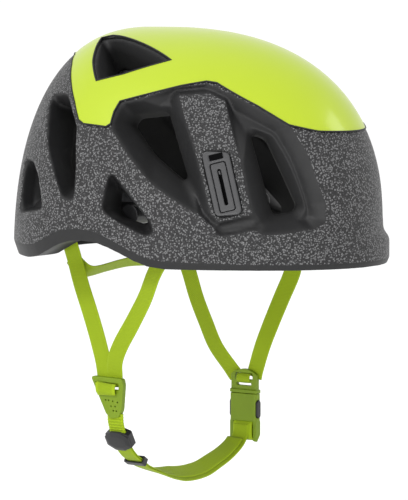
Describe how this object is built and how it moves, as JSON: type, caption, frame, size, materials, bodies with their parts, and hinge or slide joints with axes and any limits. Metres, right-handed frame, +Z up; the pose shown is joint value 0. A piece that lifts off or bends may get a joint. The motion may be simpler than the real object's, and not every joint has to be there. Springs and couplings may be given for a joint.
{
  "type": "climbing helmet",
  "caption": "Vented foam climbing helmet with a bright crown cap, lamp clips, a sliding nape cradle and a webbing harness closed by a side-release buckle.",
  "frame": {"origin": "centre of the head opening, in the plane of the rim's lowest edge", "axes": "+Z up through the crown, -Y to the front brim, +X to the wearer's left"},
  "size_m": [0.2194, 0.2778, 0.3208],
  "materials": {
    "foam": "stippled moulded EPP foam, smooth inside the vents",
    "cap": "semi-gloss lime shell",
    "clip": "satin dark grey",
    "black_plastic": "satin black",
    "green_plastic": "satin olive green",
    "webbing": "woven polyester tape",
    "pad_fabric": "brushed tricot over foam"
  },
  "bodies": {
    "shell": {"foam_shell": "foam", "crown_cap": "cap", "clip_base_right": "clip", "clip_base_left": "clip", "anchor_front_right": "black_plastic", "anchor_front_left": "black_plastic", "anchor_rear_right": "black_plastic", "anchor_rear_left": "black_plastic", "brow_pad": "pad_fabric", "crown_pad": "pad_fabric", "pivot_posts": "black_plastic", "strap_front_right": "webbing", "strap_rear_right": "webbing", "strap_front_left": "webbing", "strap_rear_left": "webbing", "nape_strap": "webbing", "strap_divider": "green_plastic", "divider_loop": "webbing", "buckle_loop": "webbing", "lower_strap": "webbing", "strap_adjuster": "black_plastic", "buckle_male": "green_plastic"},
    "clip_right": {"clip_tongue_right": "clip"},
    "clip_left": {"clip_tongue_left": "clip"},
    "cradle": {"cradle_arm_right": "black_plastic", "cradle_arm_left": "black_plastic"},
    "bridge": {"nape_bridge": "black_plastic", "nape_pad": "pad_fabric"},
    "buckle": {"buckle_female": "green_plastic", "ladder_wrap": "webbing", "chin_strap": "webbing", "strap_tail": "webbing"},
    "tab_front": {"release_tab_front": "black_plastic"},
    "tab_rear": {"release_tab_rear": "black_plastic"},
    "keeper": {"strap_keeper": "black_plastic"}
  },
  "joints": [
    {"name": "buckle_release", "type": "slide", "parent": "shell", "child": "buckle", "axis": [0, 0, -1], "range_m": [0, 0.016], "deforming": ["chin_strap", "strap_tail"]},
    {"name": "tab_front_press", "type": "slide", "parent": "buckle", "child": "tab_front", "axis": [0, 1, 0], "range_m": [0, 0.002], "stiffness_N_per_m": 400, "springref_m": -0.0005},
    {"name": "tab_rear_press", "type": "slide", "parent": "buckle", "child": "tab_rear", "axis": [0, -1, 0], "range_m": [0, 0.002], "stiffness_N_per_m": 400, "springref_m": -0.0005},
    {"name": "clip_right_lift", "type": "hinge", "parent": "shell", "child": "clip_right", "pos_m": [-0.07856, -0.06975, 0.07001], "axis": [-0.4692, 0.8488, -0.2437], "range_deg": [0, 10], "stiffness_Nm_per_rad": 0.2, "springref_deg": -1.15},
    {"name": "clip_left_lift", "type": "hinge", "parent": "shell", "child": "clip_left", "pos_m": [0.07856, -0.06975, 0.07001], "axis": [-0.4692, -0.8488, 0.2437], "range_deg": [0, 10], "stiffness_Nm_per_rad": 0.2, "springref_deg": -1.15},
    {"name": "cradle_fold", "type": "hinge", "parent": "shell", "child": "cradle", "pos_m": [0, 0.002, 0.034], "axis": [-1, 0, 0], "range_deg": [0, 20]},
    {"name": "nape_adjust", "type": "slide", "parent": "cradle", "child": "bridge", "axis": [0, -1, 0], "range_m": [0, 0.018]},
    {"name": "keeper_slide", "type": "slide", "parent": "shell", "child": "keeper", "axis": [0.8499, 0, -0.5269], "range_m": [-0.005, 0.005]}
  ]
}
